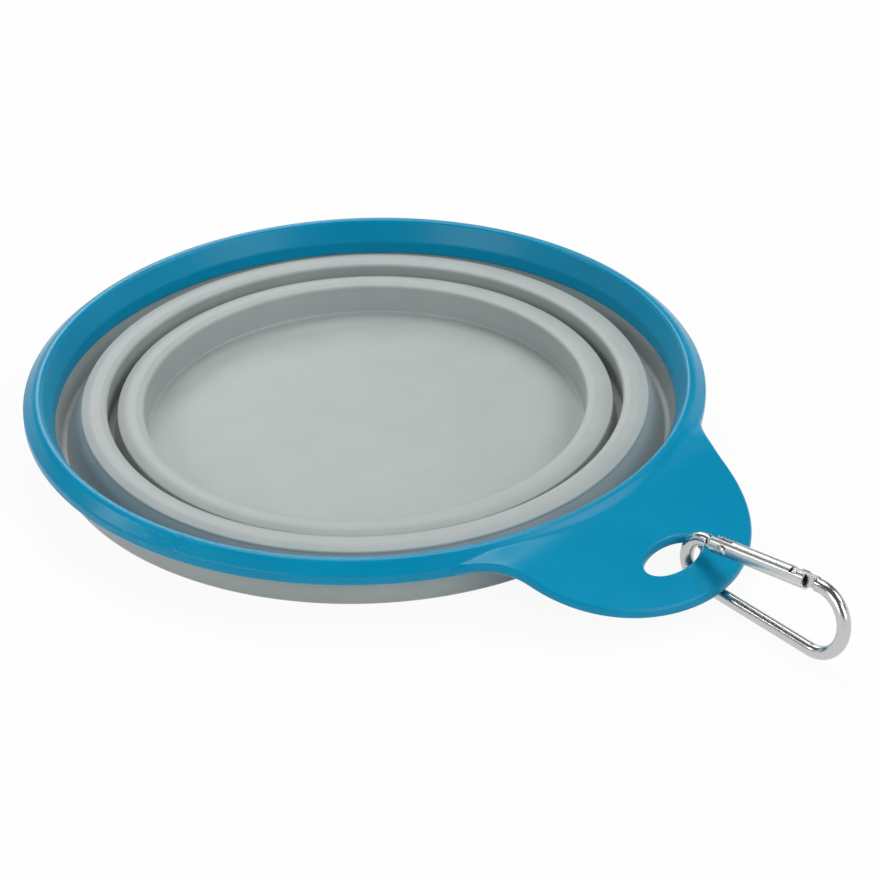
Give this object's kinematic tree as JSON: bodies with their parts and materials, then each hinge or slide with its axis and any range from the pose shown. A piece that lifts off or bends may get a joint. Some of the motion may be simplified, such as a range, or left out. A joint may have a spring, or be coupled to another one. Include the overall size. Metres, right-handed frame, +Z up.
{
  "type": "collapsible bowl",
  "caption": "Round collapsible silicone bowl, folded flat, with two fold walls between its tiers, a hard rim with a carrying tab, and a small spring-gate carabiner.",
  "frame": {"origin": "centre of the base's flat underside, on the table", "axes": "+Z up, the bowl's axis; +X out along the carrying tab; the folded bowl lies in X and Y"},
  "size_m": [0.2487, 0.18, 0.0201],
  "materials": {
    "silicone": "matt light grey moulded silicone, slightly satin on the crests",
    "rim_plastic": "satin blue injection-moulded plastic",
    "plated_wire": "polished nickel-plated steel wire",
    "plated_sheet": "nickel-plated rolled steel sheet, a little duller than the wire",
    "spring_steel": "plain bright steel"
  },
  "bodies": {
    "base": {"base_cup": "silicone", "inner_fold": "silicone"},
    "middle": {"middle_band": "silicone", "outer_fold": "silicone"},
    "rim": {"upper_band": "silicone", "rim_ring": "rim_plastic"},
    "carabiner": {"carabiner_body": "plated_wire"},
    "gate": {"gate_sleeve": "plated_sheet", "gate_rivet": "plated_wire", "gate_spring": "spring_steel"},
    "plunger": {"spring_plunger": "spring_steel"}
  },
  "joints": [
    {"name": "lower_fold", "type": "slide", "parent": "base", "child": "middle", "axis": [0, 0, 1], "range_m": [0, 0.0112], "deforming": ["inner_fold"]},
    {"name": "upper_fold", "type": "slide", "parent": "middle", "child": "rim", "axis": [0, 0, 1], "range_m": [0, 0.016], "deforming": ["outer_fold"]},
    {"name": "carabiner_swing", "type": "hinge", "parent": "rim", "child": "carabiner", "pos_m": [0.11269, 0.0055, 0.00731], "axis": [-0.0795, -0.9817, 0.1732], "range_deg": [-38, 2.5]},
    {"name": "gate_open", "type": "hinge", "parent": "carabiner", "child": "gate", "pos_m": [0.11906, 0.00614, 0.01385], "axis": [0.0795, 0.9817, -0.1732], "range_deg": [0, 24], "stiffness_Nm_per_rad": 0.03, "springref_deg": -34.38},
    {"name": "plunger_slide", "type": "slide", "parent": "gate", "child": "plunger", "axis": [0.9881, -0.0546, 0.1438], "range_m": [0, 0.0007], "deforming": ["gate_spring"]}
  ],
  "couplings": [
    {"joint": "plunger_slide", "follows": "gate_open", "m_per_rad": 0.00143}
  ]
}
